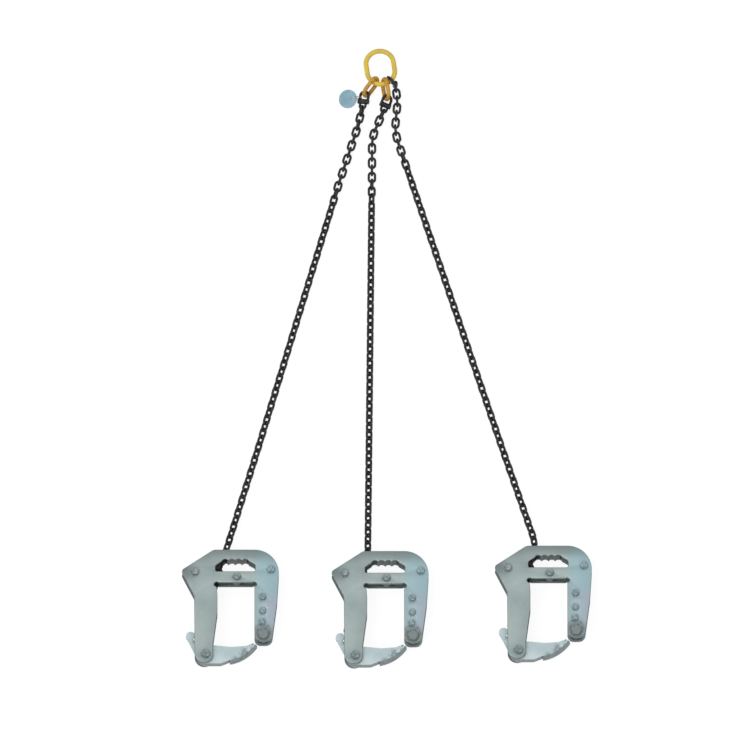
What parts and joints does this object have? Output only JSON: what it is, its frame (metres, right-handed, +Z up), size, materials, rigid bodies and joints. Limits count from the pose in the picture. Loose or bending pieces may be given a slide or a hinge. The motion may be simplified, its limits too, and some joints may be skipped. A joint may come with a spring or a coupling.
{
  "type": "chain sling with pipe clamps",
  "caption": "Chain sling laid flat: an oblong master link with chain legs, each ending in a lever clamp that grips the wall of a concrete pipe or ring.",
  "frame": {"origin": "centre of the whole sling's bounding box, on the floor it lies on", "axes": "+Z is up from the floor, +Y runs along the sling to the master link, +X runs from the left leg's clamp to the right leg's"},
  "size_m": [1.309, 2.0527, 0.0885],
  "materials": {
    "painted_yellow": "satin",
    "painted_amber": "satin",
    "black_chain": "satin",
    "black_pin": "satin",
    "zinc_plate": "satin",
    "zinc_bolt": "satin",
    "tag_plate": "satin",
    "lever_zinc": "satin",
    "grip_steel": "rough"
  },
  "bodies": {
    "master": {"master_link": "painted_yellow"},
    "sub_left": {"sub_link_left": "painted_amber"},
    "upper_left": {"coupling_upper_left": "black_chain", "coupling_pin_left": "black_pin"},
    "lower_left": {"coupling_lower_left": "black_chain"},
    "sub_middle": {"sub_link_middle": "painted_amber"},
    "upper_middle": {"coupling_upper_middle": "black_chain", "coupling_pin_middle": "black_pin"},
    "lower_middle": {"coupling_lower_middle": "black_chain"},
    "upper_right": {"coupling_upper_right": "black_chain", "coupling_pin_right": "black_pin"},
    "lower_right": {"coupling_lower_right": "black_chain"},
    "ring": {"tag_ring": "zinc_bolt"},
    "tag": {"id_tag": "tag_plate"},
    "leg_left_1": {"chain_left_1": "black_chain"},
    "leg_left_2": {"chain_left_2": "black_chain"},
    "leg_left_3": {"chain_left_3": "black_chain"},
    "leg_left_4": {"chain_left_4": "black_chain"},
    "leg_left_5": {"chain_left_5": "black_chain"},
    "lever_left": {"jaw_lever_left": "lever_zinc", "jaw_grip_left": "grip_steel"},
    "clamp_left": {"front_plate_left": "zinc_plate", "rear_plate_left": "zinc_plate", "pivot_bolt_left": "zinc_bolt", "frame_bolts_left": "zinc_bolt", "jaw_bolts_left": "zinc_bolt", "spacers_left": "zinc_plate", "handle_grip_left": "zinc_plate", "fixed_jaw_left": "lever_zinc"},
    "leg_middle_1": {"chain_middle_1": "black_chain"},
    "leg_middle_2": {"chain_middle_2": "black_chain"},
    "leg_middle_3": {"chain_middle_3": "black_chain"},
    "leg_middle_4": {"chain_middle_4": "black_chain"},
    "leg_middle_5": {"chain_middle_5": "black_chain"},
    "lever_middle": {"jaw_lever_middle": "lever_zinc", "jaw_grip_middle": "grip_steel"},
    "clamp_middle": {"front_plate_middle": "zinc_plate", "rear_plate_middle": "zinc_plate", "pivot_bolt_middle": "zinc_bolt", "frame_bolts_middle": "zinc_bolt", "jaw_bolts_middle": "zinc_bolt", "spacers_middle": "zinc_plate", "handle_grip_middle": "zinc_plate", "fixed_jaw_middle": "lever_zinc"},
    "leg_right_1": {"chain_right_1": "black_chain"},
    "leg_right_2": {"chain_right_2": "black_chain"},
    "leg_right_3": {"chain_right_3": "black_chain"},
    "leg_right_4": {"chain_right_4": "black_chain"},
    "leg_right_5": {"chain_right_5": "black_chain"},
    "lever_right": {"jaw_lever_right": "lever_zinc", "jaw_grip_right": "grip_steel"},
    "clamp_right": {"front_plate_right": "zinc_plate", "rear_plate_right": "zinc_plate", "pivot_bolt_right": "zinc_bolt", "frame_bolts_right": "zinc_bolt", "jaw_bolts_right": "zinc_bolt", "spacers_right": "zinc_plate", "handle_grip_right": "zinc_plate", "fixed_jaw_right": "lever_zinc"}
  },
  "joints": [
    {"name": "sub_left_swing", "type": "hinge", "parent": "master", "child": "sub_left", "pos_m": [-0.04091, 0.90986, 0.02494], "axis": [-0.8649, 0.4923, -0.0978], "range_deg": [0, 30]},
    {"name": "upper_left_swing", "type": "hinge", "parent": "sub_left", "child": "upper_left", "pos_m": [-0.06925, 0.87966, 0.02494], "axis": [-0.9254, 0.1632, -0.342], "range_deg": [0, 30]},
    {"name": "lower_left_swing", "type": "hinge", "parent": "upper_left", "child": "lower_left", "pos_m": [-0.07498, 0.84716, 0.02494], "axis": [-0.9254, 0.1632, -0.342], "range_deg": [0, 45]},
    {"name": "leg_left_1_swing", "type": "hinge", "parent": "lower_left", "child": "leg_left_1", "pos_m": [-0.0782, 0.82762, 0.02494], "axis": [0, 0, 1], "range_deg": [-5, 3]},
    {"name": "leg_left_2_swing", "type": "hinge", "parent": "leg_left_1", "child": "leg_left_2", "pos_m": [-0.18654, 0.46647, 0.0116], "axis": [0, 0, 1], "range_deg": [-8, 3]},
    {"name": "leg_left_3_swing", "type": "hinge", "parent": "leg_left_2", "child": "leg_left_3", "pos_m": [-0.29334, 0.10429, 0.0116], "axis": [0, 0, 1], "range_deg": [-10, 3]},
    {"name": "leg_left_4_swing", "type": "hinge", "parent": "leg_left_3", "child": "leg_left_4", "pos_m": [-0.40015, -0.25789, 0.0116], "axis": [0, 0, 1], "range_deg": [-10, 3]},
    {"name": "leg_left_5_swing", "type": "hinge", "parent": "leg_left_4", "child": "leg_left_5", "pos_m": [-0.49323, -0.57357, 0.03851], "axis": [0, 0, 1], "range_deg": [-10, 5]},
    {"name": "lever_left_swing", "type": "hinge", "parent": "leg_left_5", "child": "lever_left", "pos_m": [-0.61126, -0.93642, 0.043], "axis": [0, 0, 1], "range_deg": [0, 60]},
    {"name": "clamp_left_pivot", "type": "hinge", "parent": "lever_left", "child": "clamp_left", "pos_m": [-0.57876, -0.99272, 0.043], "axis": [0, 0, 1], "range_deg": [-60, 0]},
    {"name": "sub_middle_swing", "type": "hinge", "parent": "master", "child": "sub_middle", "pos_m": [-0.00679, 0.90578, 0.02636], "axis": [-0.9615, -0.2739, 0.0221], "range_deg": [-30, 0]},
    {"name": "upper_middle_swing", "type": "hinge", "parent": "sub_middle", "child": "upper_middle", "pos_m": [0.00494, 0.86594, 0.02636], "axis": [-0.8937, 0.2904, 0.342], "range_deg": [-30, 0]},
    {"name": "lower_middle_swing", "type": "hinge", "parent": "upper_middle", "child": "lower_middle", "pos_m": [-0.00526, 0.83456, 0.02636], "axis": [-0.8937, 0.2904, 0.342], "range_deg": [-45, 0]},
    {"name": "leg_middle_1_swing", "type": "hinge", "parent": "lower_middle", "child": "leg_middle_1", "pos_m": [-0.0111, 0.81563, 0.02636], "axis": [0, 0, 1], "range_deg": [-3, 3]},
    {"name": "leg_middle_2_swing", "type": "hinge", "parent": "leg_middle_1", "child": "leg_middle_2", "pos_m": [-0.04929, 0.469, 0.0116], "axis": [0, 0, 1], "range_deg": [-3, 3]},
    {"name": "leg_middle_3_swing", "type": "hinge", "parent": "leg_middle_2", "child": "leg_middle_3", "pos_m": [-0.053, 0.11502, 0.0116], "axis": [0, 0, 1], "range_deg": [-3, 3]},
    {"name": "leg_middle_4_swing", "type": "hinge", "parent": "leg_middle_3", "child": "leg_middle_4", "pos_m": [-0.05671, -0.23896, 0.0116], "axis": [0, 0, 1], "range_deg": [-3, 3]},
    {"name": "leg_middle_5_swing", "type": "hinge", "parent": "leg_middle_4", "child": "leg_middle_5", "pos_m": [-0.05991, -0.54468, 0.03403], "axis": [0, 0, 1], "range_deg": [-5, 5]},
    {"name": "lever_middle_swing", "type": "hinge", "parent": "leg_middle_5", "child": "lever_middle", "pos_m": [-0.13294, -0.94101, 0.043], "axis": [0, 0, 1], "range_deg": [0, 60]},
    {"name": "clamp_middle_pivot", "type": "hinge", "parent": "lever_middle", "child": "clamp_middle", "pos_m": [-0.10044, -0.99731, 0.043], "axis": [0, 0, 1], "range_deg": [-60, 0]},
    {"name": "upper_right_swing", "type": "hinge", "parent": "master", "child": "upper_right", "pos_m": [0.01274, 0.9174, 0.02494], "axis": [-0.6957, -0.7116, 0.0978], "range_deg": [0, 30]},
    {"name": "lower_right_swing", "type": "hinge", "parent": "upper_right", "child": "lower_right", "pos_m": [0.02643, 0.90323, 0.02494], "axis": [0, 0, 1], "range_deg": [0, 30]},
    {"name": "leg_right_1_swing", "type": "hinge", "parent": "lower_right", "child": "leg_right_1", "pos_m": [0.02918, 0.88362, 0.02494], "axis": [0, 0, 1], "range_deg": [-3, 5]},
    {"name": "leg_right_2_swing", "type": "hinge", "parent": "leg_right_1", "child": "leg_right_2", "pos_m": [0.10027, 0.51852, 0.0116], "axis": [0, 0, 1], "range_deg": [-3, 8]},
    {"name": "leg_right_3_swing", "type": "hinge", "parent": "leg_right_2", "child": "leg_right_3", "pos_m": [0.21821, 0.15981, 0.0116], "axis": [0, 0, 1], "range_deg": [-3, 10]},
    {"name": "leg_right_4_swing", "type": "hinge", "parent": "leg_right_3", "child": "leg_right_4", "pos_m": [0.33615, -0.1989, 0.0116], "axis": [0, 0, 1], "range_deg": [-3, 10]},
    {"name": "leg_right_5_swing", "type": "hinge", "parent": "leg_right_4", "child": "leg_right_5", "pos_m": [0.439, -0.51171, 0.03334], "axis": [0, 0, 1], "range_deg": [-5, 10]},
    {"name": "lever_right_swing", "type": "hinge", "parent": "leg_right_5", "child": "lever_right", "pos_m": [0.38852, -0.92326, 0.043], "axis": [0, 0, 1], "range_deg": [0, 60]},
    {"name": "clamp_right_pivot", "type": "hinge", "parent": "lever_right", "child": "clamp_right", "pos_m": [0.42102, -0.97956, 0.043], "axis": [0, 0, 1], "range_deg": [-60, 0]},
    {"name": "ring_swing", "type": "hinge", "parent": "upper_left", "child": "ring", "pos_m": [-0.08607, 0.85998, 0.02015], "axis": [0.1736, 0.9848, 0], "range_deg": [0, 20]},
    {"name": "tag_swing", "type": "hinge", "parent": "ring", "child": "tag", "pos_m": [-0.10429, 0.86319, 0.02015], "axis": [-0.1736, -0.9848, 0], "range_deg": [-20, 10]}
  ],
  "couplings": [
    {"joint": "clamp_left_pivot", "follows": "lever_left_swing", "ratio": -1},
    {"joint": "clamp_middle_pivot", "follows": "lever_middle_swing", "ratio": -1},
    {"joint": "clamp_right_pivot", "follows": "lever_right_swing", "ratio": -1}
  ]
}
